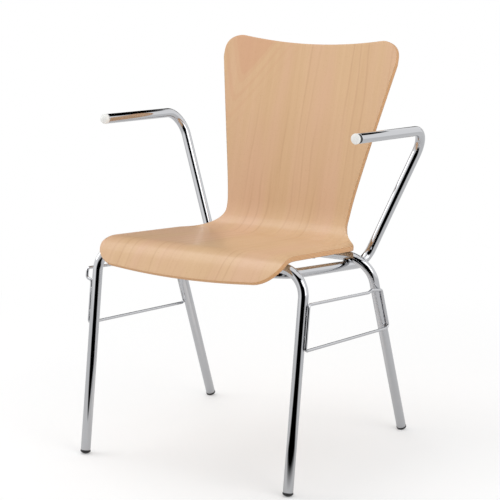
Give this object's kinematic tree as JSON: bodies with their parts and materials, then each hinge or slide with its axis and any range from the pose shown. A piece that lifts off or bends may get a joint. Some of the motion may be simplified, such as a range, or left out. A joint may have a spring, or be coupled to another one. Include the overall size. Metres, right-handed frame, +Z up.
{
  "type": "stacking chair",
  "caption": "Armchair for stacking and linking: a waisted moulded plywood shell on a frame of bent chromed tube, with open arms and a wire link on each side.",
  "frame": {"origin": "on the floor, under the middle of the whole chair", "axes": "the seat faces -Y, +X is the sitter's left and +Z is up"},
  "size_m": [0.619, 0.5306, 0.8216],
  "materials": {
    "beech_plywood": "satin clear lacquer over beech veneer, with darker layered edges",
    "chrome_tube": "bright chromium plate",
    "chrome_wire": "bright chromium plate",
    "weld_metal": "bright chromium plate over ground welds",
    "white_plastic": "smooth, slightly translucent-looking white",
    "black_plastic": "matt black",
    "grey_plastic": "matt dark grey",
    "zinc_steel": "bright zinc plate",
    "brass": "plain turned brass"
  },
  "bodies": {
    "root": {"seat_shell": "beech_plywood", "front_leg_tube": "chrome_tube", "rear_leg_tube": "chrome_tube", "arm_and_rail_tube": "chrome_tube", "spine_tube": "chrome_tube", "left_arm_cap": "white_plastic", "right_arm_cap": "white_plastic", "front_left_foot": "black_plastic", "front_right_foot": "black_plastic", "rear_left_foot": "black_plastic", "rear_right_foot": "black_plastic", "plain_linking_wire": "chrome_wire", "hooked_linking_wire": "chrome_wire", "front_seat_pads": "grey_plastic", "rear_seat_pads": "grey_plastic", "spine_seat_pads": "grey_plastic", "rear_seat_screws": "zinc_steel", "spine_seat_screws": "zinc_steel", "screw_washers": "zinc_steel", "threaded_inserts": "brass", "front_bar_welds": "weld_metal", "rear_bar_welds": "weld_metal", "linking_wire_welds": "weld_metal"}
  },
  "joints": []
}
